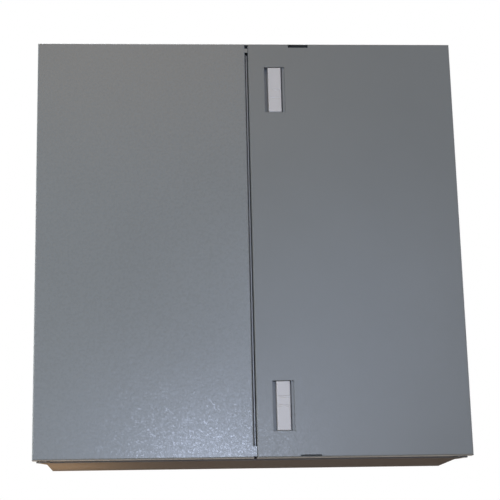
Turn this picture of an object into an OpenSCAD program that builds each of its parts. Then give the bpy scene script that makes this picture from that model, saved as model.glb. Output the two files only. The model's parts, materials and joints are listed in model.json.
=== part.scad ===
// Wall-hung sheet-steel meter cabinet with two overlay door leaves and recessed slide latches.
// X runs to the right, Y to the wall and Z up. The origin is under the middle of the base.
// A depth is a distance back from the faces of the leaves.

/* [Cabinet] */
// Width across both door leaves
front_w = 600; // [540:10:720]
// Height of the door leaves
front_h = 600; // [540:10:720]
// Depth from the wall to the faces of the leaves
cabinet_d = 155; // [145:5:220]
// Thickness of the body's sheet
body_t = 1.2; // [1:0.1:1.6]
// Inner radius of the body's folds
body_fold_r = 1; // [0.6:0.1:2]
// Distance from the leaves' outer edges in to the body's side walls
side_margin = 17; // [17:0.5:20]
// Width of the rim folded in round the front opening
rim_w = 17; // [15:1:19]
// Distance of the wall-fixing holes from the body's outer edges
wall_hole_inset = 60; // [55:1:90]
// Diameter of the wall-fixing holes
wall_hole_dia = 9; // [6:0.5:12]

/* [Leaves] */
// Thickness of the leaves' sheet
leaf_t = 1.2; // [1:0.1:1.5]
// Inner radius of the leaves' folds
leaf_fold_r = 0.8; // [0.5:0.1:1.2]
// Depth of the leaves' folded edges
leaf_d = 18; // [16:0.5:20]
// Width of the lips folded in behind the leaves' edges
lip_w = 12; // [8:0.5:14]
// Width of the lip on each leaf's hinge side
hinge_lip_w = 24; // [21:0.5:25]
// Length that the lips stop short of each corner
lip_notch = 26; // [26:1:40]
// Gap between the two leaves
seam_gap = 4; // [3.6:0.2:6]
// Distance of the seam from the cabinet's centre line
seam_x = 1.5; // [-6:0.5:6]
// Height of the tab that closes the seam's lower end
seam_tab_h = 13.5; // [8:0.5:13.5]
// Height of the tab near the seam's upper end
top_tab_h = 6; // [4:0.5:8]
// Distance of that tab from the leaf's top edge
top_tab_drop = 7.5; // [2:0.5:7.5]
// Length of the slots in the right leaf's top and bottom edges
edge_slot_l = 29; // [15:1:40]
// Height of the slot in the bottom edge
edge_slot_h = 2.3; // [1.5:0.1:4]
// Height of the slot in the top edge
top_slot_h = 4.4; // [1.5:0.1:6]
// Distance of those slots' centre from the seam
edge_slot_x = 75.5; // [60:0.5:120]

/* [Hinges] */
// Distance of the hinge axes from the leaves' outer edges
hinge_inset = 10; // [9:0.5:10.5]
// Distance of the hinge axes behind the leaves' folded edges
hinge_back = 2; // [2:0.25:3]
// Diameter of the hinge pins
pin_dia = 5; // [4:0.5:6]
// Diameter of the hinge pins' heads
pin_head_dia = 9; // [8:0.5:10]
// Height of the hinge pins' heads
pin_head_h = 2; // [1:0.25:4]
// Radius of the ears and tabs round the hinge pins
ear_r = 5.5; // [4.5:0.25:6]
// Length of the ears along the body's side walls
ear_l = 26; // [18:1:40]

/* [Centre post] */
// Width of the post
post_w = 37; // [34:1:38]
// Width of the post's front strip past its webs
post_lap = 9; // [7:0.5:11]
// Depth of the post's webs
post_d = 22; // [18:1:40]
// Thickness of the fin that stands in the seam
fin_t = 1.6; // [1:0.1:2]
// Depth of the fin's front edge
fin_set = 6; // [2:0.5:10]

/* [Latches] */
// Distance of the latches from the seam
latch_x = 40; // [40:0.5:60]
// Distance of the latches from the leaf's top and bottom edges
latch_z = 70.5; // [62:0.5:110]
// Width of the latch windows
pocket_w = 29.5; // [28.5:0.5:32]
// Gap above and below a slider in its window
window_gap = 0.5; // [0.4:0.1:3]
// Depth of the shelf round each slider
shelf_d = 3; // [2.5:0.25:5]
// Depth of the wells in which the sliders move
pocket_d = 10; // [8:0.5:12]
// Gap beside a slider, away from the seam
well_gap = 1.6; // [0.5:0.1:3]
// Thickness of the cups' sheet
cup_t = 1; // [0.8:0.1:1.5]
// Width of the flange round each cup
cup_flange = 6; // [3:0.5:8]
// Width of the slider's grip
slider_w = 19; // [16:0.5:20]
// Height of the slider's grip
slider_h = 68; // [56:0.5:80]
// Distance of the grip's face behind the leaf's face
slider_set = 0.4; // [0:0.1:2]
// Rounding of the grip's edges
slider_r = 1.4; // [0.5:0.1:2.5]
// Travel of the latches towards the seam
latch_throw = 4.5; // [3:0.25:4.75]
// Number of grooves across the grip
groove_count = 2; // [1:1:3]
// Spacing of the grooves
groove_pitch = 12.6; // [6:0.1:13]
// Width of the grooves
groove_w = 3.4; // [1.5:0.1:4]
// Depth of the grooves
groove_d = 0.5; // [0.2:0.05:0.8]
// Width of the slider's stem
stem_w = 8; // [6:0.5:10]
// Height of the slider's stem
stem_h = 24; // [18:1:30]
// Thickness of the latch tongue
tongue_t = 2; // [1.5:0.25:3]
// Height of the latch tongue
tongue_h = 30; // [20:1:36]
// Diameter of the screws that hold the tongue
tongue_screw_dia = 4; // [3:0.5:5]

/* [Left leaf bolts] */
// Diameter of the bolts
bolt_dia = 8; // [6:0.5:10]
// Travel of the bolts
bolt_throw = 12; // [8:0.5:13]
// Height of the bolts' brackets
bracket_h = 70; // [55:1:100]
// Width of the bolts' brackets
bracket_w = 22; // [18:0.5:23]
// Thickness of the bolts' brackets
bracket_t = 2; // [1.5:0.25:3]
// Diameter of the thumb knobs
knob_dia = 9; // [7:0.5:12]
// Length of the thumb knobs
knob_l = 14; // [8:0.5:20]

/* [Mounting plate] */
// Thickness of the mounting plate
plate_t = 2; // [1.5:0.25:3]
// Gap between the mounting plate and the walls round it
plate_margin = 20; // [12:1:30]
// Distance of the mounting plate from the back wall
plate_gap = 20; // [15:1:30]
// Distance of the studs from the mounting plate's edges
stud_inset = 18; // [14:1:24]
// Diameter of the studs
stud_dia = 6; // [5:1:8]
// Length of the studs past the mounting plate
stud_reach = 10; // [9:0.5:16]
// Outer diameter of the spacers on the studs
spacer_dia = 12; // [11:0.5:16]
// Width of the nuts across their flats
nut_af = 10; // [9:0.5:13]
// Height of the nuts
nut_h = 6; // [4:0.5:7]

/* [Meter carrier] */
// Width of the carrier's face
carrier_w = 190; // [150:5:200]
// Height of the carrier
carrier_h = 360; // [280:5:400]
// Distance of the carrier's face from the mounting plate
carrier_rise = 14; // [10:0.5:20]
// Thickness of the carrier's sheet
carrier_t = 1.5; // [1:0.25:2]
// Width of the carrier's feet
carrier_foot = 16; // [14:0.5:18]
// Width of the slots that take the meter's screws
meter_slot_w = 6.5; // [5:0.5:8]
// Length of those slots
meter_slot_l = 60; // [40:1:70]

/* [Rails and terminal bars] */
// Length of the mounting rails
rail_l = 210; // [180:5:220]
// Width of the mounting rails
rail_w = 35; // [35:1:36]
// Depth of the mounting rails
rail_d = 7.5; // [7:0.5:15]
// Thickness of the mounting rails' sheet
rail_t = 1; // [0.8:0.1:1.5]
// Width of the mounting rails' brims
rail_brim = 4; // [3:0.25:5]
// Distance between the two mounting rails
rail_pitch = 125; // [110:5:140]
// Length of the terminal bars
bar_l = 170; // [150:2:190]
// Height of the terminal bars
bar_h = 12; // [10:0.5:14]
// Thickness of the terminal bars
bar_t = 8; // [7:0.5:10]
// Distance of the terminal bars from the mounting plate
bar_rise = 20; // [12:0.5:26]
// Distance between the two terminal bars
bar_pitch = 55; // [45:1:70]
// Number of wire holes in each terminal bar
bar_wires = 9; // [4:1:10]
// Diameter of the wire holes
wire_dia = 5; // [3:0.5:6]

/* [Cable entry] */
// Width of the cut-out in the top
entry_w = 230; // [180:5:300]
// Gap between the centre post and the entry plate
entry_gap = 4; // [2:0.5:8]
// Depth of the cut-out in the top
entry_d = 52; // [48:1:58]
// Overlap of the entry plate round the cut-out
entry_lap = 12; // [11:0.5:14]
// Thickness of the entry plate
entry_t = 1.5; // [1:0.25:2]
// Thickness of the entry plate's seal
entry_seal_t = 1.5; // [1:0.25:3]
// Number of cable grommets
grommet_count = 3; // [1:1:3]
// Diameter of the cable grommets' bores
grommet_bore = 24; // [12:1:26]
// Diameter of the holes for the grommets
grommet_hole = 32; // [30:1:34]
// Diameter of the grommets' flanges
grommet_flange = 40; // [38:1:44]
// Thickness of the grommets' flanges
grommet_lip = 2.2; // [1.5:0.1:2.5]

/* [Hidden] */
$fn = 48;

PAINT = [0.48, 0.51, 0.54];
LATCH_GREY = [0.72, 0.73, 0.76];
ZINC = [0.70, 0.72, 0.74];
STEEL = [0.60, 0.61, 0.63];
BRASS = [0.78, 0.63, 0.30];
RUBBER = [0.10, 0.10, 0.11];
BLUE = [0.20, 0.36, 0.66];
LOWER = -1;
UPPER = 1;
LEFT = -1;
RIGHT = 1;

// Clearances and small allowances
run_gap = 0.05;
slide_gap = 0.3;
cut_past = 1;
strike_gap = 0.8;
edge_flat = 0.8;

// Heights
body_h = front_h + 2 * (body_t + slide_gap);
leaf_z0 = body_t + slide_gap;
leaf_z1 = leaf_z0 + front_h;
mid_z = body_h / 2;

// Depths
seal_t = 2.7;
rim_d = leaf_d + slide_gap + seal_t;
hinge_d = leaf_d + hinge_back;
plate_d = cabinet_d - body_t - plate_gap - plate_t;
post_front = rim_d + body_t;
post_back = post_front + body_t + post_d;
tongue_d = post_front + body_t + strike_gap;
bolt_d = post_front + strike_gap + bolt_dia / 2;

// Places across the width
body_half = front_w / 2 - side_margin;
hinge_x = front_w / 2 - hinge_inset;
seam_left = seam_x - seam_gap / 2;
seam_right = seam_x + seam_gap / 2;
post_left = seam_x - post_w / 2;
post_right = seam_x + post_w / 2;
slider_x = seam_x + latch_x;
pocket_h = slider_h + 2 * window_gap;
bolt_x = post_left - strike_gap - slide_gap - bracket_w / 2;
tongue_tip = post_right + strike_gap;

// Mounting plate
plate_half = body_half - body_t - plate_margin;
plate_z0 = body_t + plate_margin;
plate_z1 = body_h - body_t - plate_margin;
stud_x = plate_half - stud_inset;
stud_zs = [plate_z0 + stud_inset, plate_z1 - stud_inset];
half_x = plate_half / 2;
washer_dia = nut_af * 1.4;
washer_t = 1.5;

// Screws
screw_dia = 5;
screw_head_dia = 9;
screw_head_h = 3;
screw_end = 4;
screw_edge = 20;

// Bars on the mounting plate
carrier_z = mid_z + 40;
rail_zs = [mid_z + 20, mid_z + 20 + rail_pitch];
bar_zs = [plate_z0 + 60, plate_z0 + 60 + bar_pitch];
support_w = 14;
support_inset = 9;
bar_screw_dia = 5;
bar_screw_head = 7;

// Cable entry
entry_mid = post_back + entry_gap + entry_lap + entry_d / 2;
entry_top = body_h - body_t;
entry_plate_z = entry_top - entry_seal_t - entry_t;
grommet_pitch = entry_w / 3;
grommet_tail = 5;
earth_stud_l = 24;
earth_stud_x = body_half - 40;
earth_stud_d = plate_d - 20;

function at(d) = d - cabinet_d / 2;
function latch_mid(level) = level == UPPER ? leaf_z1 - latch_z : leaf_z0 + latch_z;
function bolt_tip(level) = mid_z + level * (mid_z - rim_w - strike_gap);
function ordered(a, b) = [min(a, b), max(a, b)];

// A box given by its limits across, in depth and in height
module span_box(x, d, z) {
    translate([x[0], at(d[0]), z[0]])
        cube([x[1] - x[0], d[1] - d[0], z[1] - z[0]]);
}

// A flat rectangle with all four corners rounded
module round_rect(u, v, r) {
    translate([u[0] + r, v[0]])
        square([u[1] - u[0] - 2 * r, v[1] - v[0]]);
    translate([u[0], v[0] + r])
        square([u[1] - u[0], v[1] - v[0] - 2 * r]);
    for (cu = [u[0] + r, u[1] - r])
        for (cv = [v[0] + r, v[1] - r])
            translate([cu, cv])
                circle(r);
}

// A box whose front and back edges are rounded as folded sheet is
module folded_block(x, d, z, r) {
    y = [at(d[0]), at(d[1])];
    intersection() {
        translate([0, 0, z[0]])
            linear_extrude(z[1] - z[0])
                round_rect(x, y, r);
        translate([x[0], 0, 0])
            rotate([90, 0, 90])
                linear_extrude(x[1] - x[0])
                    round_rect(y, z, r);
    }
}

// A folded box of sheet, closed on all sides
module folded_shell(x, d, z, t, r) {
    difference() {
        folded_block(x, d, z, r + t);
        folded_block([x[0] + t, x[1] - t], [d[0] + t, d[1] - t], [z[0] + t, z[1] - t], r);
    }
}

// A rod along Y between two depths
module depth_rod(x, z, d, dia) {
    translate([x, at(d[0]), z])
        rotate([-90, 0, 0])
            cylinder(h = d[1] - d[0], d = dia);
}

// A slot cut through sheet along Y, with round ends
module depth_slot(x, z, d, dia, length, upright) {
    half = (length - dia) / 2;
    for (end = [-half, half])
        depth_rod(upright ? x : x + end, upright ? z + end : z, d, dia);
    if (upright)
        span_box([x - dia / 2, x + dia / 2], d, [z - half, z + half]);
    else
        span_box([x - half, x + half], d, [z - dia / 2, z + dia / 2]);
}

// Outline of a hinge ear in plan, on the right-hand side
module ear_outline() {
    wall = body_half - body_t;
    polygon([
        [wall - ear_r, at(hinge_d - ear_r)],
        [hinge_x, at(hinge_d - ear_r)],
        [hinge_x + ear_r, at(hinge_d)],
        [wall + body_t, at(hinge_d + ear_l)],
        [wall - ear_r, at(hinge_d + ear_l)]
    ]);
    translate([hinge_x, at(hinge_d)])
        circle(ear_r);
}

// The folded body: walls, hinge ears, wall holes and the cable cut-out
module body_shell() {
    fold = body_t + body_fold_r;
    wall_x = body_half - wall_hole_inset;
    color(PAINT)
        difference() {
            union() {
                difference() {
                    folded_shell([-body_half, body_half], [rim_d - 2 * fold, cabinet_d], [0, body_h],
                                 body_t, body_fold_r);
                    span_box([-front_w, front_w], [0, rim_d], [-cut_past, body_h + cut_past]);
                }
                for (z = [0, body_h - body_t])
                    for (side = [LEFT, RIGHT])
                        translate([0, 0, z])
                            mirror([side < 0 ? 1 : 0, 0, 0])
                                linear_extrude(body_t)
                                    ear_outline();
            }
            for (side = [LEFT, RIGHT])
                translate([side * hinge_x, at(hinge_d), -cut_past])
                    cylinder(h = body_h + 2 * cut_past, d = pin_dia + 2 * run_gap);
            for (x = [-wall_x, wall_x])
                for (z = [wall_hole_inset, body_h - wall_hole_inset])
                    depth_rod(x, z, [cabinet_d - body_t - cut_past, cabinet_d + cut_past], wall_hole_dia);
            span_box([-entry_w / 2, entry_w / 2], [entry_mid - entry_d / 2, entry_mid + entry_d / 2],
                     [entry_top - cut_past, body_h + cut_past]);
            entry_screw_places()
                translate([0, 0, entry_top - cut_past])
                    cylinder(h = body_t + 2 * cut_past, d = screw_dia + 2 * run_gap);
        }
}

// Flat frame inside the body's front edge, on which the seal sits
module front_frame() {
    outer = body_half - body_t;
    inner = body_half - rim_w;
    color(PAINT)
        difference() {
            span_box([-outer, outer], [rim_d, post_front], [body_t, body_h - body_t]);
            span_box([-inner, inner], [rim_d - cut_past, post_front + cut_past], [rim_w, body_h - rim_w]);
        }
}

// Strip behind the frame; the latches' tongues go behind its edge
module centre_post() {
    color(PAINT)
        span_box([post_left, post_right], [post_front, post_front + body_t], [body_t, body_h - body_t]);
}

// Two webs welded behind the post's strip
module post_stiffeners() {
    color(PAINT)
        for (x = [post_left + post_lap, post_right - post_lap - body_t])
            span_box([x, x + body_t], [post_front + body_t, post_back], [body_t, body_h - body_t]);
}

// Fin welded on the post, which stands in the seam
module seam_fin() {
    color(PAINT)
        span_box([seam_x - fin_t / 2, seam_x + fin_t / 2], [fin_set, post_front],
                 [rim_w + slide_gap, body_h - rim_w - slide_gap]);
}

// Foam strip on the rim, on which the leaves' lips close
module rim_seal() {
    seal_w = 8;
    edge = body_t + body_fold_r;
    x = body_half - edge;
    color(RUBBER)
        difference() {
            span_box([-x, x], [rim_d - seal_t, rim_d], [edge, body_h - edge]);
            span_box([-x + seal_w, x - seal_w], [rim_d - seal_t - cut_past, rim_d + cut_past],
                     [edge + seal_w, body_h - edge - seal_w]);
        }
}

// Pin through an ear and the leaf's tab, with its head inside the leaf
module hinge_pin(side, level) {
    head_z = leaf_z0 + leaf_t + slide_gap;
    color(STEEL)
        translate([side * hinge_x, at(hinge_d), level == UPPER ? body_h : 0])
            mirror([0, 0, level == UPPER ? 1 : 0]) {
                cylinder(h = head_z, d = pin_dia);
                translate([0, 0, head_z])
                    cylinder(h = pin_head_h, d = pin_head_dia);
            }
}

// Tab of a leaf round its hinge pin, on the leaf's top or bottom fold
module hinge_tab(side, z) {
    root = leaf_d - 2 * (leaf_t + leaf_fold_r);
    x = side * hinge_x;
    span_box([x - ear_r, x + ear_r], [root, hinge_d], [z, z + leaf_t]);
    translate([x, at(hinge_d), z])
        cylinder(h = leaf_t, r = ear_r);
}

// A leaf's pan: face, folded edges and lips, with hinge tabs at its outer corners
module leaf_pan(side, meeting_x) {
    x = ordered(side * front_w / 2, meeting_x);
    z = [leaf_z0, leaf_z1];
    fold = leaf_t + leaf_fold_r;
    lips = side < 0 ? [hinge_lip_w, lip_w] : [lip_w, hinge_lip_w];
    rear = [leaf_d - fold, leaf_d + cut_past];
    difference() {
        union() {
            difference() {
                folded_shell(x, [0, leaf_d], z, leaf_t, leaf_fold_r);
                span_box([x[0] + lips[0], x[1] - lips[1]], rear, [z[0] + lip_w, z[1] - lip_w]);
                for (nx = [[x[0] + leaf_t, x[0] + lip_notch], [x[1] - lip_notch, x[1] - leaf_t]])
                    for (nz = [[z[0] + leaf_t, z[0] + lip_notch], [z[1] - lip_notch, z[1] - leaf_t]])
                        span_box(nx, rear, nz);
            }
            for (tab_z = [z[0], z[1] - leaf_t])
                hinge_tab(side, tab_z);
        }
        translate([side * hinge_x, at(hinge_d), z[0] - cut_past])
            cylinder(h = front_h + 2 * cut_past, d = pin_dia + 2 * run_gap);
    }
}

// Left leaf: near the seam's ends a tab goes across it, and the leaf's top edge is carried over it
module left_leaf() {
    fold = leaf_t + leaf_fold_r;
    low = leaf_z0 + fold;
    high = leaf_z1 - top_tab_drop;
    across = [seam_left - 2 * fold, seam_right - 2 * run_gap];
    color(PAINT) {
        leaf_pan(LEFT, seam_left);
        for (z = [[low, low + seam_tab_h], [high - top_tab_h, high]])
            span_box(across, [0, leaf_t], z);
        span_box(across, [fold, leaf_d - fold], [leaf_z1 - leaf_t, leaf_z1]);
    }
}

// Cutter for a window in a leaf, flared so that the sheet's edge is rounded in
module window_cut(x, z) {
    r = leaf_t - edge_flat;
    span_box(x, [-cut_past, leaf_t + cut_past], z);
    difference() {
        span_box([x[0] - r, x[1] + r], [-cut_past, r], [z[0] - r, z[1] + r]);
        for (edge = [x[0] - r, x[1] + r])
            translate([edge, at(r), z[0] - 2 * r])
                cylinder(h = z[1] - z[0] + 4 * r, r = r);
        for (edge = [z[0] - r, z[1] + r])
            translate([x[0] - 2 * r, at(r), edge])
                rotate([0, 90, 0])
                    cylinder(h = x[1] - x[0] + 4 * r, r = r);
    }
}

// Right leaf, with the latch windows and the edge slots
module right_leaf() {
    low = leaf_z0 + leaf_t + run_gap;
    high = leaf_z1 - leaf_t - run_gap;
    slot_mid = seam_x + edge_slot_x;
    color(PAINT)
        difference() {
            leaf_pan(RIGHT, seam_right);
            for (level = [LOWER, UPPER])
                window_cut([slider_x - pocket_w / 2, slider_x + pocket_w / 2],
                           [latch_mid(level) - pocket_h / 2, latch_mid(level) + pocket_h / 2]);
            for (z = [[low, low + edge_slot_h], [high - top_slot_h, high]])
                span_box([slot_mid - edge_slot_l / 2, slot_mid + edge_slot_l / 2],
                         [-cut_past, leaf_t + leaf_fold_r], z);
        }
}

// Pressed cup behind a latch window: a shelf, a well for the slider and a slot that guides its stem
module latch_cup(level) {
    mid = latch_mid(level);
    x = [slider_x - pocket_w / 2, slider_x + pocket_w / 2];
    z = [mid - pocket_h / 2, mid + pocket_h / 2];
    well_x = [slider_x - slider_w / 2 - latch_throw - slide_gap, slider_x + slider_w / 2 + well_gap];
    stem = [slider_x - stem_w / 2 - latch_throw - slide_gap, slider_x + stem_w / 2 + slide_gap];
    color(PAINT)
        difference() {
            union() {
                span_box([x[0] - cup_flange, x[1] + cup_flange], [leaf_t, leaf_t + cup_t],
                         [z[0] - cup_flange, z[1] + cup_flange]);
                span_box([x[0] - cup_t, x[1] + cup_t], [leaf_t, shelf_d + cup_t],
                         [z[0] - cup_t, z[1] + cup_t]);
                span_box([well_x[0] - cup_t, well_x[1] + cup_t], [leaf_t, pocket_d + cup_t],
                         [z[0] - cup_t, z[1] + cup_t]);
            }
            span_box(x, [leaf_t - cut_past, shelf_d], z);
            span_box(well_x, [leaf_t - cut_past, pocket_d], z);
            span_box(stem, [pocket_d - cut_past, pocket_d + cup_t + cut_past],
                     [mid - stem_h / 2 - slide_gap, mid + stem_h / 2 + slide_gap]);
        }
}

// Heights of the two screws in a latch's stem
function tongue_screw_zs(level) = [for (end = [LOWER, UPPER]) latch_mid(level) + end * stem_h / 4];

// Moulded slider: rounded grip with grooves towards the cabinet's middle, and a stem through the cup
module latch_slider(level) {
    z = latch_mid(level);
    groove_r = (groove_w * groove_w / 4 + groove_d * groove_d) / (2 * groove_d);
    color(LATCH_GREY)
        difference() {
            union() {
                intersection() {
                    folded_block([slider_x - slider_w / 2, slider_x + slider_w / 2],
                                 [slider_set, pocket_d + slider_r],
                                 [z - slider_h / 2, z + slider_h / 2], slider_r);
                    span_box([slider_x - slider_w, slider_x + slider_w], [0, pocket_d - slide_gap],
                             [z - slider_h, z + slider_h]);
                }
                span_box([slider_x - stem_w / 2, slider_x + stem_w / 2], [pocket_d - slider_r, tongue_d],
                         [z - stem_h / 2, z + stem_h / 2]);
            }
            for (i = [0 : groove_count - 1])
                translate([slider_x - slider_w / 2 + slider_r, at(slider_set + groove_d - groove_r),
                           z - level * i * groove_pitch])
                    rotate([0, 90, 0])
                        cylinder(h = slider_w - 2 * slider_r, r = groove_r);
            for (screw_z = tongue_screw_zs(level))
                depth_rod(slider_x, screw_z, [pocket_d + cup_t, tongue_d + cut_past],
                          tongue_screw_dia + 2 * run_gap);
        }
}

// Steel tongue screwed to the stem, which goes behind the edge of the post's strip
module latch_tongue(level) {
    z = latch_mid(level);
    color(ZINC)
        difference() {
            span_box([tongue_tip, slider_x + stem_w / 2], [tongue_d, tongue_d + tongue_t],
                     [z - tongue_h / 2, z + tongue_h / 2]);
            for (screw_z = tongue_screw_zs(level))
                depth_rod(slider_x, screw_z, [tongue_d - cut_past, tongue_d + tongue_t + cut_past],
                          tongue_screw_dia + 2 * run_gap);
        }
}

// The two screws that hold a tongue on its stem
module latch_screws(level) {
    back = tongue_d + tongue_t;
    color(STEEL)
        for (screw_z = tongue_screw_zs(level)) {
            depth_rod(slider_x, screw_z, [pocket_d + cup_t + screw_end, back], tongue_screw_dia);
            depth_rod(slider_x, screw_z, [back, back + tongue_screw_dia / 2], 1.8 * tongue_screw_dia);
        }
}

// Limits in height of a bolt's bracket
function bracket_span(level) =
    ordered(bolt_tip(level) - level * strike_gap, bolt_tip(level) - level * (strike_gap + bracket_h));

// Folded bracket on the left leaf's back, with two ears that guide a bolt
module bolt_bracket(level) {
    z = bracket_span(level);
    x = [bolt_x - bracket_w / 2, bolt_x + bracket_w / 2];
    ear = [leaf_t, bolt_d];
    color(ZINC)
        difference() {
            union() {
                span_box(x, [leaf_t, leaf_t + bracket_t], z);
                for (ear_z = [[z[0], z[0] + bracket_t], [z[1] - bracket_t, z[1]]]) {
                    span_box(x, ear, ear_z);
                    translate([bolt_x, at(bolt_d), ear_z[0]])
                        cylinder(h = bracket_t, d = bracket_w);
                }
            }
            translate([bolt_x, at(bolt_d), z[0] - cut_past])
                cylinder(h = bracket_h + 2 * cut_past, d = bolt_dia + 2 * run_gap);
        }
}

// Height of a thumb knob, next to the bracket's inner ear
function knob_z(level) = bolt_tip(level)
    - level * (strike_gap + bracket_h - bracket_t - slide_gap - knob_dia / 2);

// Round bolt that slides behind the rim, with a flat hole for its knob
module leaf_bolt(level) {
    z = ordered(bolt_tip(level), bolt_tip(level) - level * (strike_gap + bracket_h + bolt_throw + cut_past));
    knob_hole = bolt_dia / 2 + run_gap;
    color(STEEL)
        difference() {
            translate([bolt_x, at(bolt_d), z[0]])
                cylinder(h = z[1] - z[0], d = bolt_dia);
            depth_rod(bolt_x, knob_z(level), [bolt_d, bolt_d + bolt_dia], knob_hole);
        }
}

// Thumb knob pressed into a bolt
module bolt_knob(level) {
    start = bolt_d + bolt_dia / 2;
    color(RUBBER) {
        depth_rod(bolt_x, knob_z(level), [bolt_d, start + slide_gap], bolt_dia / 2 - run_gap);
        depth_rod(bolt_x, knob_z(level), [start + slide_gap, start + slide_gap + knob_l], knob_dia);
    }
}

// Holds its children at each of the mounting plate's studs
module stud_places() {
    for (x = [-stud_x, stud_x])
        for (z = stud_zs)
            translate([x, 0, z])
                children();
}

// Places of the screws in the carrier's feet
function carrier_screw_xs() = [for (side = [LEFT, RIGHT]) -half_x + side * (carrier_w + carrier_foot) / 2];
function carrier_screw_zs() =
    [carrier_z - carrier_h / 2 + screw_edge, carrier_z + carrier_h / 2 - screw_edge];
// Places of the screws in the mounting rails
function rail_screw_xs() = [half_x - rail_l / 2 + screw_edge, half_x + rail_l / 2 - screw_edge];
// Places of the supports under the terminal bars
function support_xs() = [half_x - bar_l / 2 + support_inset, half_x + bar_l / 2 - support_inset];

// Holes through a sheet for a set of screws
module screw_holes(xs, zs, d) {
    for (x = xs)
        for (z = zs)
            depth_rod(x, z, [d[0] - cut_past, d[1] + cut_past], screw_dia + 2 * run_gap);
}

// Pan-head screws whose heads sit at the given depth
module screw_set(xs, zs, head_d, end_d) {
    color(STEEL)
        for (x = xs)
            for (z = zs) {
                depth_rod(x, z, [head_d, end_d], screw_dia);
                depth_rod(x, z, [head_d - screw_head_h, head_d], screw_head_dia);
            }
}

// Galvanised plate that carries the meter's fittings
module mounting_plate() {
    d = [plate_d, plate_d + plate_t];
    color(ZINC)
        difference() {
            span_box([-plate_half, plate_half], d, [plate_z0, plate_z1]);
            stud_places()
                depth_rod(0, 0, [d[0] - cut_past, d[1] + cut_past], stud_dia + 2 * slide_gap);
            screw_holes(carrier_screw_xs(), carrier_screw_zs(), d);
            screw_holes(rail_screw_xs(), rail_zs, d);
            screw_holes(support_xs(), bar_zs, d);
        }
}

// Studs welded to the back wall
module plate_studs() {
    color(STEEL)
        stud_places()
            depth_rod(0, 0, [plate_d - stud_reach, cabinet_d - body_t], stud_dia);
}

// Tubes that hold the mounting plate off the back wall
module plate_spacers() {
    d = [plate_d + plate_t, cabinet_d - body_t];
    color(ZINC)
        stud_places()
            difference() {
                depth_rod(0, 0, d, spacer_dia);
                depth_rod(0, 0, [d[0] - cut_past, d[1] + cut_past], stud_dia + 2 * run_gap);
            }
}

// Hexagon nut with its washer face against the given depth
module flange_nut(d) {
    difference() {
        union() {
            depth_rod(0, 0, [d - washer_t, d], washer_dia);
            translate([0, at(d - nut_h), 0])
                rotate([-90, 0, 0])
                    cylinder(h = nut_h - washer_t, d = nut_af / cos(30), $fn = 6);
        }
        depth_rod(0, 0, [d - nut_h - cut_past, d + cut_past], stud_dia + 2 * run_gap);
    }
}

// Nuts on the mounting plate's studs
module plate_nuts() {
    color(ZINC)
        stud_places()
            flange_nut(plate_d);
}

// Raised sheet with slots for the meter's three screws
module meter_carrier() {
    face = [plate_d - carrier_rise, plate_d - carrier_rise + carrier_t];
    z = [carrier_z - carrier_h / 2, carrier_z + carrier_h / 2];
    half = carrier_w / 2;
    slot_d = [face[0] - cut_past, face[1] + cut_past];
    third = carrier_w / 3;
    color(ZINC)
        difference() {
            union() {
                span_box([-half_x - half, -half_x + half], face, z);
                for (side = [LEFT, RIGHT]) {
                    web = ordered(side * half, side * (half - carrier_t));
                    foot = ordered(side * (half - carrier_t), side * (half + carrier_foot));
                    span_box([web[0] - half_x, web[1] - half_x], [face[0], plate_d], z);
                    span_box([foot[0] - half_x, foot[1] - half_x], [plate_d - carrier_t, plate_d], z);
                }
            }
            depth_slot(-half_x, carrier_z + carrier_h / 4, slot_d, meter_slot_w, 2 * meter_slot_l, true);
            for (side = [LEFT, RIGHT])
                for (row = [0, 1])
                    depth_slot(-half_x + side * third * 0.75, carrier_z - carrier_h / 4 + row * meter_slot_l,
                               slot_d, meter_slot_w, meter_slot_l, false);
            screw_holes(carrier_screw_xs(), carrier_screw_zs(), [plate_d - carrier_t, plate_d]);
        }
}

// Top-hat mounting rail
module mounting_rail(z) {
    inner = rail_w - 2 * rail_brim;
    x = [half_x - rail_l / 2, half_x + rail_l / 2];
    web = [plate_d - rail_t, plate_d];
    color(ZINC)
        difference() {
            union() {
                span_box(x, web, [z - inner / 2, z + inner / 2]);
                for (side = [LOWER, UPPER]) {
                    wall = ordered(z + side * inner / 2, z + side * (inner / 2 - rail_t));
                    brim = ordered(z + side * (inner / 2 - rail_t), z + side * rail_w / 2);
                    span_box(x, [plate_d - rail_d, plate_d], wall);
                    span_box(x, [plate_d - rail_d, plate_d - rail_d + rail_t], brim);
                }
            }
            screw_holes(rail_screw_xs(), [z], web);
        }
}

// Places across a terminal bar of its wire holes
function wire_xs() = [for (i = [0 : bar_wires - 1])
    half_x + (i - (bar_wires - 1) / 2) * (bar_l - 4 * support_inset) / bar_wires];

// Brass bar with upright wire holes and a clamping screw in front of each
module terminal_bar(z) {
    d = [plate_d - bar_rise - bar_t, plate_d - bar_rise];
    color(BRASS)
        difference() {
            span_box([half_x - bar_l / 2, half_x + bar_l / 2], d, [z - bar_h / 2, z + bar_h / 2]);
            for (x = wire_xs())
                translate([x, at((d[0] + d[1]) / 2), z - bar_h])
                    cylinder(h = 2 * bar_h, d = wire_dia);
            for (x = wire_xs())
                depth_rod(x, z, [d[0] - cut_past, (d[0] + d[1]) / 2], bar_screw_dia - 1 + 2 * run_gap);
            screw_holes(support_xs(), [z], d);
        }
}

// Posts that hold a terminal bar off the mounting plate
module bar_supports(z, tint) {
    d = [plate_d - bar_rise, plate_d];
    color(tint)
        difference() {
            for (x = support_xs())
                depth_rod(x, z, d, support_w);
            screw_holes(support_xs(), [z], d);
        }
}

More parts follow.
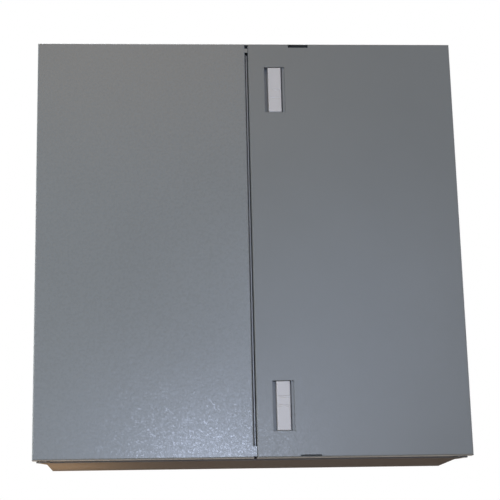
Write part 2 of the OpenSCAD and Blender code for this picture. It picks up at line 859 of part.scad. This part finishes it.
// Clamping screws of a terminal bar, and the two that hold it
module bar_screws(z) {
    front = plate_d - bar_rise - bar_t;
    screw_set(support_xs(), [z], front, plate_d + plate_t + screw_end);
    color(STEEL)
        for (x = wire_xs()) {
            depth_rod(x, z, [front - 2, front + bar_t / 2 - wire_dia / 2], bar_screw_dia - 1);
            depth_rod(x, z, [front - 4, front - 2], bar_screw_head);
        }
}

// Holds its children at each of the cable entry's screws
module entry_screw_places() {
    x = entry_w / 2 + entry_lap / 2;
    y = entry_d / 2 + entry_lap / 2;
    for (px = [-x, 0, x])
        for (py = [-y, y])
            translate([px, at(entry_mid) + py, 0])
                children();
}

// Outline of the entry plate, between two heights
module entry_slab(z) {
    x = entry_w / 2 + entry_lap;
    y = entry_d / 2 + entry_lap;
    difference() {
        span_box([-x, x], [entry_mid - y, entry_mid + y], z);
        entry_screw_places()
            translate([0, 0, z[0] - cut_past])
                cylinder(h = z[1] - z[0] + 2 * cut_past, d = screw_dia + 2 * run_gap);
    }
}

// Holds its children at each cable grommet
module grommet_places() {
    for (i = [0 : grommet_count - 1])
        translate([(i - (grommet_count - 1) / 2) * grommet_pitch, at(entry_mid), 0])
            children();
}

// Plate under the top that takes the grommets
module cable_entry_plate() {
    color(PAINT)
        difference() {
            entry_slab([entry_plate_z, entry_plate_z + entry_t]);
            grommet_places()
                translate([0, 0, entry_plate_z - cut_past])
                    cylinder(h = entry_t + 2 * cut_past, d = grommet_hole);
        }
}

// Flat seal between the entry plate and the top
module cable_entry_seal() {
    z = [entry_top - entry_seal_t, entry_top];
    color(RUBBER)
        difference() {
            entry_slab(z);
            span_box([-entry_w / 2, entry_w / 2], [entry_mid - entry_d / 2, entry_mid + entry_d / 2],
                     [z[0] - cut_past, z[1] + cut_past]);
        }
}

// Screws from below that hold the entry plate
module cable_entry_screws() {
    color(STEEL)
        entry_screw_places() {
            translate([0, 0, entry_plate_z])
                cylinder(h = body_h - entry_plate_z, d = screw_dia);
            translate([0, 0, entry_plate_z - screw_head_h])
                cylinder(h = screw_head_h, d = screw_head_dia);
        }
}

// Turned rubber grommets, grooved to sit in the entry plate
module cable_grommets() {
    neck = grommet_hole / 2 - run_gap;
    bore = grommet_bore / 2;
    color(RUBBER)
        grommet_places()
            translate([0, 0, entry_plate_z])
                rotate_extrude()
                    polygon([
                        [bore, -grommet_tail],
                        [neck - 1, -grommet_tail],
                        [grommet_flange / 2, -grommet_tail / 2],
                        [grommet_flange / 2, 0],
                        [neck, 0],
                        [neck, entry_t],
                        [grommet_flange / 2, entry_t],
                        [grommet_flange / 2 - 1, entry_t + grommet_lip],
                        [bore, entry_t + grommet_lip]
                    ]);
}

// Stud welded upright on the floor of the body
module earth_stud() {
    color(STEEL)
        translate([earth_stud_x, at(earth_stud_d), body_t])
            cylinder(h = earth_stud_l, d = stud_dia);
}

// Nut on the earth stud, down on the floor of the body
module earth_stud_nut() {
    color(BRASS)
        translate([earth_stud_x, at(earth_stud_d), body_t])
            difference() {
                union() {
                    cylinder(h = washer_t, d = washer_dia);
                    cylinder(h = nut_h, d = nut_af / cos(30), $fn = 6);
                }
                translate([0, 0, -cut_past])
                    cylinder(h = nut_h + 2 * cut_past, d = stud_dia + 2 * run_gap);
            }
}

body_shell();
front_frame();
centre_post();
post_stiffeners();
seam_fin();
rim_seal();
hinge_pin(LEFT, LOWER);  // hinge_pin_lower_left
hinge_pin(LEFT, UPPER);  // hinge_pin_upper_left
hinge_pin(RIGHT, LOWER);  // hinge_pin_lower_right
hinge_pin(RIGHT, UPPER);  // hinge_pin_upper_right
left_leaf();
right_leaf();
latch_cup(LOWER);  // lower_latch_cup
latch_cup(UPPER);  // upper_latch_cup
latch_slider(LOWER);  // lower_latch_slider
latch_slider(UPPER);  // upper_latch_slider
latch_tongue(LOWER);  // lower_latch_tongue
latch_tongue(UPPER);  // upper_latch_tongue
latch_screws(LOWER);  // lower_latch_screws
latch_screws(UPPER);  // upper_latch_screws
bolt_bracket(LOWER);  // lower_bolt_bracket
bolt_bracket(UPPER);  // upper_bolt_bracket
leaf_bolt(LOWER);  // lower_bolt
leaf_bolt(UPPER);  // upper_bolt
bolt_knob(LOWER);  // lower_bolt_knob
bolt_knob(UPPER);  // upper_bolt_knob
mounting_plate();
plate_studs();
plate_spacers();
plate_nuts();
meter_carrier();
screw_set(carrier_screw_xs(), carrier_screw_zs(), plate_d - carrier_t, plate_d + plate_t + screw_end);  // carrier_screws
mounting_rail(rail_zs[1]);  // upper_mounting_rail
mounting_rail(rail_zs[0]);  // lower_mounting_rail
screw_set(rail_screw_xs(), rail_zs, plate_d - rail_t, plate_d + plate_t + screw_end);  // rail_screws
terminal_bar(bar_zs[1]);  // neutral_bar
bar_supports(bar_zs[1], BLUE);  // neutral_bar_supports
bar_screws(bar_zs[1]);  // neutral_bar_screws
terminal_bar(bar_zs[0]);  // earth_bar
bar_supports(bar_zs[0], ZINC);  // earth_bar_supports
bar_screws(bar_zs[0]);  // earth_bar_screws
cable_entry_plate();
cable_entry_seal();
cable_entry_screws();
cable_grommets();
earth_stud();
earth_stud_nut();
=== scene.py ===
"""Looks of a wall-hung sheet-steel meter cabinet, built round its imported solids."""
import json
import math

import bmesh
import bpy
import numpy as np
from mathutils import Euler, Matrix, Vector


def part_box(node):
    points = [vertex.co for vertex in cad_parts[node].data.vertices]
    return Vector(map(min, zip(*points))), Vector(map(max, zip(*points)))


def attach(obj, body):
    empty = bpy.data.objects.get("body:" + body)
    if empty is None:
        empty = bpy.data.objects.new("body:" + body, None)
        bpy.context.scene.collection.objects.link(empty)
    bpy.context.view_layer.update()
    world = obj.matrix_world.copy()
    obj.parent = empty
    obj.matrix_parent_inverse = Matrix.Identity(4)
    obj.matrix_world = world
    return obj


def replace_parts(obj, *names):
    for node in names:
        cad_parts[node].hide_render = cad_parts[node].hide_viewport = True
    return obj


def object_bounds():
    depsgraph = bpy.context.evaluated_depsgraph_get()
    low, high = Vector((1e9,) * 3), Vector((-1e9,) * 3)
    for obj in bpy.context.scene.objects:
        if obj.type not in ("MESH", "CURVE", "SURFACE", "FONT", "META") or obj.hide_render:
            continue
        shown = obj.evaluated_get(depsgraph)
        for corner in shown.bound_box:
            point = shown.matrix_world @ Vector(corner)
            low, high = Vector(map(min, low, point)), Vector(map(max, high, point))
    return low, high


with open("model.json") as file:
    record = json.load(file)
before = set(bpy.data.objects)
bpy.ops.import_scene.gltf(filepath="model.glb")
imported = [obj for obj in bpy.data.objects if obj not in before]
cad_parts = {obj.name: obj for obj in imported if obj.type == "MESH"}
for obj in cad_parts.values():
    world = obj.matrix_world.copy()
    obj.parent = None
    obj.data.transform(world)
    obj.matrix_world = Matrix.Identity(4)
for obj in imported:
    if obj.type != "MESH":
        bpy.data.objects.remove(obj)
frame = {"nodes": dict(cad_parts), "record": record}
CAD_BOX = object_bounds()
FRONT_Y, REAR_Y = CAD_BOX[0].y, CAD_BOX[1].y
NODES = frame["nodes"]
MM = 0.001


# Node helpers

def linear(hex_code):
    """sRGB hex to linear RGBA, by the sRGB transfer curve."""
    parts = [int(hex_code[i:i + 2], 16) / 255 for i in (1, 3, 5)]
    return [c / 12.92 if c <= 0.04045 else ((c + 0.055) / 1.055) ** 2.4 for c in parts] + [1.0]


def feed(tree, node, inputs):
    """Gives a node its inputs: a socket is linked, any other value is set on the node's own socket."""
    for name, value in inputs.items():
        if isinstance(value, bpy.types.NodeSocket):
            tree.links.new(value, node.inputs[name])
        else:
            node.inputs[name].default_value = value


def add(tree, kind, inputs=None, **settings):
    """Adds one node; settings are its properties, inputs are values or sockets to link."""
    made = tree.nodes.new(kind)
    for name, value in settings.items():
        setattr(made, name, value)
    feed(tree, made, inputs or {})
    return made


def new_material(name):
    """An empty node material: returns it with its tree, its shader and its Object coordinates."""
    material = bpy.data.materials.new(name)
    material.use_nodes = True
    tree = material.node_tree
    tree.nodes.clear()
    shader = add(tree, "ShaderNodeBsdfPrincipled")
    add(tree, "ShaderNodeOutputMaterial", {"Surface": shader.outputs["BSDF"]})
    place = add(tree, "ShaderNodeTexCoord").outputs["Object"]
    return material, tree, shader, place


def per_metre(size_mm):
    """Texture scale at which one feature is about size_mm across."""
    return 1.0 / (size_mm * MM)


def noise(tree, place, size_mm, detail=3.0):
    """Value of a soft noise, 0 to 1, whose features are about size_mm across."""
    return add(tree, "ShaderNodeTexNoise",
               {"Vector": place, "Scale": per_metre(size_mm), "Detail": detail}).outputs["Fac"]


def cells(tree, place, size_mm, **settings):
    """Outputs of a cell pattern whose cells are about size_mm across."""
    return add(tree, "ShaderNodeTexVoronoi", {"Vector": place, "Scale": per_metre(size_mm)}, **settings).outputs


def drawn_out(tree, place, scale):
    """Coordinates scaled by axis; a noise read there is drawn out along an axis whose scale is small."""
    return add(tree, "ShaderNodeMapping", {"Vector": place, "Scale": scale}).outputs["Vector"]


NOISE_RANGE = (0.3, 0.7)    # where nearly all values of a noise lie


def ranged(tree, value, low, high, source=(0.0, 1.0)):
    """Value carried from its source range to low ... high."""
    return add(tree, "ShaderNodeMapRange",
               {"Value": value, "From Min": source[0], "From Max": source[1],
                "To Min": low, "To Max": high}).outputs["Result"]


def blend(tree, share, first, second):
    """Colour that goes from first to second as share goes from 0 to 1."""
    # A Mix node's sockets have the same names in all its modes, so those for colour go by number.
    share_in, first_in, second_in, colour_out = 0, 6, 7, 2
    return add(tree, "ShaderNodeMix", {share_in: share, first_in: first, second_in: second},
               data_type="RGBA").outputs[colour_out]


def relief(tree, height, depth_mm, strength=1.0):
    """Normal of a surface that rises and falls by depth_mm with a height of 0 to 1."""
    return add(tree, "ShaderNodeBump",
               {"Height": height, "Strength": strength, "Distance": depth_mm * MM}).outputs["Normal"]


# Finishes

def powder_coat(name, hex_code, shade_hex, roughness, relief_mm, skin, shine=0.5):
    """Polyester powder coat, sprayed and baked on folded steel sheet.

    The eye gets a flat grey with a soft sheen, weaker where shine is low, a faint cloudiness from uneven
    film and the orange peel of the melted powder. Its clear skin, as strong as skin, lies in facets of
    1.6 mm, coarser than the real grain, which is too fine to show; each is tilted a little, so a lamp's
    reflection breaks up into sparks.
    """
    peel_mm, cloud_mm, facet_mm = 4.0, 140.0, 1.6
    tilt, skin_roughness, vary = 0.11, 0.18, 0.04
    material, tree, shader, place = new_material(name)
    cloud = ranged(tree, noise(tree, place, cloud_mm), 0.0, 1.0, NOISE_RANGE)
    peel = noise(tree, place, peel_mm)
    normal = relief(tree, peel, relief_mm)
    feed(tree, shader, {
        "Base Color": blend(tree, cloud, linear(hex_code), linear(shade_hex)),
        "Roughness": ranged(tree, peel, roughness - vary, roughness + vary, NOISE_RANGE),
        "Normal": normal, "Specular IOR Level": shine, "IOR": 1.5})
    if skin:
        facet = cells(tree, place, facet_mm)["Color"]
        lean = add(tree, "ShaderNodeVectorMath", {0: facet, 1: [tilt] * 3, 2: [-tilt / 2] * 3},
                   operation="MULTIPLY_ADD").outputs["Vector"]
        tilted = add(tree, "ShaderNodeVectorMath", {0: lean, 1: normal}, operation="ADD").outputs["Vector"]
        unit = add(tree, "ShaderNodeVectorMath", {0: tilted}, operation="NORMALIZE").outputs["Vector"]
        feed(tree, shader, {"Coat Weight": skin, "Coat Roughness": skin_roughness, "Coat Normal": unit})
    return material


def moulded_plastic(name, hex_code, shade_hex, roughness, relief_mm):
    """Injection-moulded ABS or nylon with a spark-eroded grain.

    The eye gets an even colour, a fine matt grain and faint streaks where the melt flowed. The grain of
    0.8 mm is coarser than the real one, which is too fine to show.
    """
    flow_mm, grain_mm, vary = 9.0, 0.8, 0.08
    material, tree, shader, place = new_material(name)
    flow = noise(tree, drawn_out(tree, place, (1.0, 1.0, 0.25)), flow_mm, 2.0)
    grain = noise(tree, place, grain_mm, 2.0)
    feed(tree, shader, {
        "Base Color": blend(tree, flow, linear(hex_code), linear(shade_hex)),
        "Roughness": ranged(tree, grain, roughness - vary, roughness + vary),
        "Normal": relief(tree, grain, relief_mm), "IOR": 1.52})
    return material


def galvanised(name, hex_code, shade_hex, spangle_mm):
    """Hot-dip galvanised sheet.

    The eye gets frost-like zinc crystals, each a slightly different grey and gloss, under a patchy dulling.
    """
    dull_mm, dulling = 30.0, 0.08
    material, tree, shader, place = new_material(name)
    crystal = cells(tree, place, spangle_mm, distance="MANHATTAN")["Color"]
    tone = add(tree, "ShaderNodeSeparateColor", {"Color": crystal}).outputs
    gloss = ranged(tree, tone["Green"], 0.46, 0.54)
    worn = add(tree, "ShaderNodeMath", {0: noise(tree, place, dull_mm, 4.0), 1: dulling, 2: gloss},
               operation="MULTIPLY_ADD").outputs["Value"]
    feed(tree, shader, {
        "Base Color": blend(tree, tone["Red"], linear(hex_code), linear(shade_hex)),
        "Roughness": worn, "Metallic": 1.0})
    return material


def drawn_metal(name, hex_code, shade_hex, roughness):
    """Turned, drawn or plated bar stock.

    The eye gets a metal with fine lines from the die and a patchy dulling from handling. The lines of
    0.6 mm are coarser than real ones, which are too fine to show.
    """
    patch_mm, line_mm, line_depth_mm, vary = 12.0, 0.6, 0.03, 0.1
    material, tree, shader, place = new_material(name)
    lines = noise(tree, drawn_out(tree, place, (0.08, 1.0, 1.0)), line_mm)
    feed(tree, shader, {
        "Base Color": blend(tree, noise(tree, place, patch_mm), linear(hex_code), linear(shade_hex)),
        "Roughness": ranged(tree, lines, roughness - vary, roughness + vary),
        "Normal": relief(tree, lines, line_depth_mm, 0.4), "Metallic": 1.0})
    return material


def cellular_rubber(name, hex_code, shade_hex):
    """Extruded EPDM foam and moulded rubber.

    The eye gets a dead black with a fine open skin of cells.
    """
    bloom_mm, cell_mm, cell_depth_mm = 25.0, 0.9, 0.15
    material, tree, shader, place = new_material(name)
    pores = cells(tree, place, cell_mm)["Distance"]
    feed(tree, shader, {
        "Base Color": blend(tree, noise(tree, place, bloom_mm), linear(hex_code), linear(shade_hex)),
        "Normal": relief(tree, pores, cell_depth_mm, 0.6), "Roughness": 0.85})
    return material


LEFT_COAT = powder_coat("powder_coat_left_leaf", "#798082", "#7c8385", 0.28, 0.08, 0.3)
# Painted shade: the right leaf carries the left leaf's paint, made darker because that leaf stands turned a
# little away from the lamps.
RIGHT_COAT_SHADED = powder_coat("powder_coat_right_leaf_painted_shade", "#747a7b", "#777d7e", 0.35, 0.08, 0.15)
CUP_COAT = powder_coat("powder_coat_latch_cups", "#767b7d", "#797e80", 0.4, 0.05, 0.0)
# Painted light: the seam fin wears the cabinet's grey paint made much lighter, to offset the shade deep in the
# seam and brighten its highlight.
FIN_COAT_PAINTED_LIGHT = powder_coat("powder_coat_seam_fin_painted_light", "#9aa0a2", "#9da3a5", 0.3, 0.05, 0.2)
BODY_COAT = powder_coat("matt_powder_coat_body", "#767a7b", "#797c7d", 0.6, 0.05, 0.0, 0.018)
LATCH_ABS = moulded_plastic("moulded_abs_pale_grey", "#d1d3d4", "#cccecf", 0.45, 0.02)
KNOB_ABS = moulded_plastic("moulded_abs_black", "#1c1d1f", "#242527", 0.5, 0.03)
BLUE_NYLON = moulded_plastic("moulded_nylon_blue", "#2f5fa6", "#2a5698", 0.45, 0.03)
SPANGLE = galvanised("galvanised_sheet", "#9da1a4", "#92969a", 9.0)
FINE_SPANGLE = galvanised("skin_passed_galvanised_sheet", "#bcbcb6", "#b4b5b0", 3.0)
ZINC = drawn_metal("zinc_plated_steel", "#b3b5b8", "#9a9da2", 0.32)
BRASS = drawn_metal("drawn_brass", "#bd9c55", "#ab8948", 0.45)
FOAM = cellular_rubber("epdm_foam", "#17181a", "#202124")

FINISH_OF_SLOT = {
    "grey_paint": BODY_COAT, "latch_plastic": LATCH_ABS, "black_foam": FOAM, "terminal_brass": BRASS,
    "insulator_plastic": BLUE_NYLON, "knob_plastic": KNOB_ABS, "galvanised_sheet": SPANGLE,
    "zinc_fasteners": ZINC,
}
FINISH_OF_NODE = {
    "left_leaf": LEFT_COAT, "right_leaf": RIGHT_COAT_SHADED, "seam_fin": FIN_COAT_PAINTED_LIGHT,
    "lower_latch_cup": CUP_COAT, "upper_latch_cup": CUP_COAT, "meter_carrier": FINE_SPANGLE,
    "upper_mounting_rail": FINE_SPANGLE, "lower_mounting_rail": FINE_SPANGLE,
}


def dress(piece, material):
    """Gives an object one material on all its faces."""
    piece.data.materials.clear()
    piece.data.materials.append(material)


for part in frame["record"]["subparts"]:
    dress(NODES[part["node"]], FINISH_OF_NODE.get(part["node"], FINISH_OF_SLOT[part["material_slot"]]))


# Surfaces worked out as arrays

def surface(name, patches, material, body):
    """One mesh from grids of points; each grid's columns close on themselves.

    A face joins points (i, j), (i, j+1), (i+1, j+1) and (i+1, j); doubled points at poles are merged.
    """
    same_point = 1e-7
    points = []
    faces = []
    start = 0
    for grid in patches:
        rows, columns = grid.shape[:2]
        i, j = np.meshgrid(np.arange(rows - 1), np.arange(columns), indexing="ij")
        beside = (j + 1) % columns
        quad = np.stack([i * columns + j, i * columns + beside,
                         (i + 1) * columns + beside, (i + 1) * columns + j], -1)
        faces.append(quad.reshape(-1, 4) + start)
        points.append(grid.reshape(-1, 3))
        start += rows * columns
    mesh = bpy.data.meshes.new(name)
    mesh.from_pydata(np.concatenate(points).tolist(), [], np.concatenate(faces).tolist())
    made = bmesh.new()
    made.from_mesh(mesh)
    bmesh.ops.remove_doubles(made, verts=made.verts, dist=same_point)
    bmesh.ops.recalc_face_normals(made, faces=made.faces)
    made.to_mesh(mesh)
    made.free()
    mesh.shade_smooth()
    piece = bpy.data.objects.new(name, mesh)
    bpy.context.scene.collection.objects.link(piece)
    dress(piece, material)
    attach(piece, body)
    return piece


AXES = {"+Y": ((1, 0, 0), (0, 0, 1), (0, 1, 0)), "-Y": ((1, 0, 0), (0, 0, 1), (0, -1, 0)),
        "+Z": ((1, 0, 0), (0, 1, 0), (0, 0, 1))}


def turned(radius, along, angles, origin, axis):
    """Points of a turned form round an axis through origin.

    Each point is origin + along * axis + radius * (cos(angle) * across + sin(angle) * other);
    radius has a row per station and a column per angle, along a value per row or per point.
    """
    across, other, run = (np.array(v, dtype=float) for v in AXES[axis])
    stations = np.broadcast_to(along, radius.shape)
    return (np.array(origin) + stations[..., None] * run
            + (radius * np.cos(angles))[..., None] * across + (radius * np.sin(angles))[..., None] * other)


def solids(node):
    """Low and high corners of each separate solid of a node.

    Every point starts with its own label; the lower label spreads along the edges until none changes.
    """
    mesh = NODES[node].data
    points = np.empty(len(mesh.vertices) * 3)
    edges = np.empty(len(mesh.edges) * 2, dtype=np.int64)
    mesh.vertices.foreach_get("co", points)
    mesh.edges.foreach_get("vertices", edges)
    points, index = np.unique(points.reshape(-1, 3).round(7), axis=0, return_inverse=True)
    ends = index.ravel()[edges].reshape(-1, 2)
    label = np.arange(len(points))
    settled = False
    while not settled:
        lower = label[ends].min(axis=1)
        spread = label.copy()
        np.minimum.at(spread, ends[:, 0], lower)
        np.minimum.at(spread, ends[:, 1], lower)
        settled = bool((spread == label).all())
        label = spread[spread]
    return [(points[label == k].min(axis=0), points[label == k].max(axis=0)) for k in np.unique(label)]


def shaft(low, high, axis):
    """Start point, length and greatest radius of a round solid with these corners, along an axis.

    The start is the middle of the box, moved to the end where the axis begins.
    """
    run = np.array(AXES[axis][2])
    start = np.where(run > 0, low, np.where(run < 0, high, (low + high) / 2))
    return start, np.abs(run) @ (high - low), (high[0] - low[0]) / 2


# Threads, cross heads and knurls on turned pieces

ROUND = np.linspace(0, 2 * math.pi, 64, endpoint=False)
FINE_ROUND = np.linspace(0, 2 * math.pi, 144, endpoint=False)
STUD_PITCH = 1.0 * MM
SHORT_SCREW = 15 * MM


def thread(radius, length, pitch):
    """Radius and station of a screw thread.

    A triangle wave in (station / pitch - angle / full turn) is cut into the radius; the free end is
    chamfered over one pitch and both ends close on the axis.
    """
    rows_per_turn, depth, chamfer_depth = 10, 0.54 * pitch, 0.6 * pitch
    along = np.linspace(0, length, int(length / pitch * rows_per_turn) + 1)[:, None]
    phase = along / pitch - ROUND / (2 * math.pi)
    cut = depth * np.abs(2 * (phase % 1.0) - 1)
    chamfer = chamfer_depth * np.clip((along - (length - pitch)) / pitch, 0, 1)
    body = radius - np.maximum(cut, chamfer)
    end = np.zeros_like(body[:1])
    return np.vstack([end, body, end]), np.vstack([along[:1], along, along[-1:]])


def threaded_studs():
    """Threaded rods in place of the plain plate studs and the earth stud."""
    for node, axis in (("plate_studs", "-Y"), ("earth_stud", "+Z")):
        rods = []
        for low, high in solids(node):
            foot, length, stud_r = shaft(low, high, axis)
            radius, along = thread(stud_r, length, STUD_PITCH)
            rods.append(turned(radius, along, ROUND, foot, axis))
        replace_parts(surface("threaded_" + node, rods, ZINC, "cabinet"), node)


def smooth_step(value):
    """0 below 0, 1 above 1, and a smooth cubic between."""
    value = np.clip(value, 0, 1)
    return value * value * (3 - 2 * value)


def cross_head_screw(radius, head_h, shank, length):
    """Radius and station of a pan-head screw, from the middle of its head to its tip.

    The head's top is a dome, sag = 0.3 * height * (r / R)^2, sunk by a cross: two bars whose edges
    fall off smoothly with |r sin(angle)| and |r cos(angle)|. The side, the seat and the shank follow.
    """
    bar_half, bar_slope = 0.2 * radius, 0.1 * radius
    bar_reach, end_slope = 0.62 * radius, 0.12 * radius
    sag, cross_depth, side_top, soft = 0.3 * head_h, 0.5 * head_h, 0.36 * head_h, 0.03 * head_h
    reach = np.linspace(0, 0.96, 18)[:, None] * radius
    across = np.abs(reach * np.cos(ROUND))
    upright = np.abs(reach * np.sin(ROUND))
    near = np.minimum(across, upright)
    far = np.maximum(across, upright)
    cross = smooth_step((bar_half - near) / bar_slope) * smooth_step((bar_reach - far) / end_slope)
    top = sag * (reach / radius) ** 2 + cross_depth * cross
    rest = np.array([[radius, side_top], [radius, head_h - soft], [radius - soft, head_h],
                     [shank + soft, head_h], [shank, head_h + soft], [shank, length - shank],
                     [0.6 * shank, length], [0, length]])
    flat = np.ones_like(top[:1])
    return (np.vstack([reach * flat] + [r * flat for r in rest[:, 0]]),
            np.vstack([top] + [s * flat for s in rest[:, 1]]))


def screws(node, axis, head_h, body, short_head_h=None):
    """Cross-head screws in place of a node's plain ones, each with its head at the axis's start.

    Where short_head_h is given, screws under 15 mm long have heads of that height.
    """
    shank_share = 0.55
    forms = []
    for low, high in solids(node):
        start, length, head_r = shaft(low, high, axis)
        height = short_head_h if short_head_h and length < SHORT_SCREW else head_h
        radius, along = cross_head_screw(head_r, height, shank_share * head_r, length)
        forms.append(turned(radius, along, ROUND, start, axis))
    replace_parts(surface(node + "_cross_head", forms, ZINC, body), node)


def knurled_knob(level):
    """Thumb knob: a shank, then a barrel whose radius dips by a cosine of 36 times the angle.

    Its profile has the share of the full radius and the station of each row.
    """
    knurls, knurl_depth, knurled_from = 36, 0.035, 0.96
    low, high = (np.array(corner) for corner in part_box(level + "_bolt_knob"))
    start, length, radius = shaft(low, high, "+Y")
    neck = 4.3 * MM
    profile = np.array([[0.0, 0.0], [0.43, 0.0], [0.43, neck], [0.88, neck], [0.97, neck + 0.6 * MM],
                        [1.0, neck + 1.2 * MM], [1.0, length - 1.4 * MM], [0.96, length - 0.5 * MM],
                        [0.84, length], [0.6, length - 0.3 * MM], [0.0, length - 0.5 * MM]])
    share, along = profile[:, :1], profile[:, 1:]
    knurl = (share > knurled_from) * knurl_depth * (1 - np.cos(knurls * FINE_ROUND)) / 2
    grid = turned(radius * (share - knurl), along, FINE_ROUND, start, "+Y")
    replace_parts(surface(level + "_knurled_knob", [grid], KNOB_ABS, level + "_left_bolt"),
                level + "_bolt_knob")


threaded_studs()
for level in ("lower", "upper"):
    knurled_knob(level)
    screws(level + "_latch_screws", "-Y", 2.0 * MM, level + "_latch")
for node in ("carrier_screws", "rail_screws"):
    screws(node, "+Y", 3.0 * MM, "cabinet")
for node in ("neutral_bar_screws", "earth_bar_screws"):
    screws(node, "+Y", 3.0 * MM, "cabinet", 2.0 * MM)
screws("cable_entry_screws", "+Z", 3.0 * MM, "cabinet")


# Scene: floor, light and camera

def seen_rays(tree):
    """1 for what the camera, a mirror or a clear piece shows, 0 for the light that a surface gets."""
    path = add(tree, "ShaderNodeLightPath").outputs
    clear = add(tree, "ShaderNodeMath", {0: path["Is Camera Ray"], 1: path["Is Transmission Ray"]},
                operation="MAXIMUM")
    seen = add(tree, "ShaderNodeMath", {0: clear.outputs["Value"], 1: path["Is Glossy Ray"]},
               operation="MAXIMUM")
    return seen.outputs["Value"]


def build_floor():
    """A pale floor well under the hung cabinet, which throws the warm brown of a wooden one on it."""
    half, level = 6.0, -0.9
    speck_mm, lift_strength = 60.0, 0.45
    mesh = bpy.data.meshes.new("studio_floor")
    mesh.from_pydata([(-half, -half, level), (half, -half, level), (half, half, level), (-half, half, level)],
                     [], [(0, 1, 2, 3)])
    floor = bpy.data.objects.new("studio_floor", mesh)
    bpy.context.scene.collection.objects.link(floor)
    material, tree, shader, place = new_material("pale_floor")
    pale = blend(tree, noise(tree, place, speck_mm), linear("#e4ddd2"), linear("#e0d9cd"))
    seen = seen_rays(tree)
    lift = add(tree, "ShaderNodeMath", {0: seen, 1: lift_strength}, operation="MULTIPLY").outputs["Value"]
    feed(tree, shader, {
        "Base Color": blend(tree, seen, linear("#7a4c1b"), pale), "Emission Color": pale,
        "Emission Strength": lift, "Roughness": 0.8})
    dress(floor, material)


def build_world():
    """A dim even light, and a white surround for what looks past the floor."""
    world = bpy.data.worlds.new("studio")
    world.use_nodes = True
    tree = world.node_tree
    tree.nodes.clear()
    dim = add(tree, "ShaderNodeBackground", {"Color": linear("#e2e0dc"), "Strength": 0.25})
    white = add(tree, "ShaderNodeBackground", {"Color": linear("#ffffff"), "Strength": 1.0})
    mixed = add(tree, "ShaderNodeMixShader", {0: seen_rays(tree), 1: dim.outputs[0], 2: white.outputs[0]})
    add(tree, "ShaderNodeOutputWorld", {"Surface": mixed.outputs[0]})
    bpy.context.scene.world = world


def area_lamp(name, place, target, size, power, hex_code, mirrored=True):
    """A square soft light at a place, turned to face a target; glossy faces show it where it is mirrored."""
    lamp = bpy.data.lights.new(name, "AREA")
    lamp.size = size
    lamp.energy = power
    lamp.color = linear(hex_code)[:3]
    holder = bpy.data.objects.new(name, lamp)
    holder.location = place
    holder.rotation_euler = (Vector(target) - Vector(place)).to_track_quat("-Z", "Y").to_euler()
    holder.visible_glossy = mirrored
    bpy.context.scene.collection.objects.link(holder)


def build_light():
    """Cool light from the camera's side and a flash below it, a fill from each side, a warm lamp overhead,
    three for the sides and the back, and a glow under the left end that is too close to be shown in the paint.

    Each line gives a lamp's place, its target, its size in metres, its power in watts and its colour.
    """
    middle = (0.0, FRONT_Y, 0.3)
    area_lamp("key", (0.03, -1.93, 0.06), middle, 0.06, 4.5, "#d3e0ff")
    area_lamp("flash", (0.03, -1.85, -0.20), middle, 0.05, 2.6, "#e7efff")
    area_lamp("low", (-0.15, -1.7, 0.04), (-0.05, FRONT_Y, 0.1), 0.6, 2.0, "#c4d8ff")
    area_lamp("fill", (0.40, -1.75, 0.42), (0.05, FRONT_Y, 0.25), 0.6, 2.8, "#c9dbff")
    area_lamp("side", (-1.2, -1.4, 0.20), middle, 0.8, 9.4, "#f2fafd")
    area_lamp("overhead", (-0.35, -1.5, 1.7), (0.0, FRONT_Y, 0.45), 1.4, 4.4, "#ffc566")
    for name, side in (("left_wing", -1), ("right_wing", 1)):
        area_lamp(name, (side * 1.9, 0.45, 0.40), (0.0, 0.0, 0.3), 1.0, 17.0, "#f4f6fa")
    area_lamp("back", (0.0, 2.0, 1.50), (0.0, REAR_Y, 0.4), 1.2, 34.0, "#f4f6fa")
    area_lamp("glow", (-0.28, 0.0, -0.11), (-0.27, 0.0, 0.0), 0.04, 0.14, "#ffc893", mirrored=False)


def build_camera():
    """The photo's view: below the base, a little left of centre, looking up."""
    camera = bpy.data.cameras.new("photo_view")
    camera.sensor_fit = "HORIZONTAL"
    camera.sensor_width = 36.0
    camera.lens = 94.196
    camera.shift_x = 0.0576
    camera.shift_y = 0.0427
    holder = bpy.data.objects.new("photo_view", camera)
    holder.location = (-0.1363, -1.8523, -0.1608)
    holder.rotation_euler = Euler([math.radians(a) for a in (103.349, 1.019, -2.835)], "XYZ")
    bpy.context.scene.collection.objects.link(holder)
    bpy.context.scene.camera = holder


build_floor()
build_world()
build_light()
build_camera()
bpy.context.scene.view_settings.view_transform = "Standard"
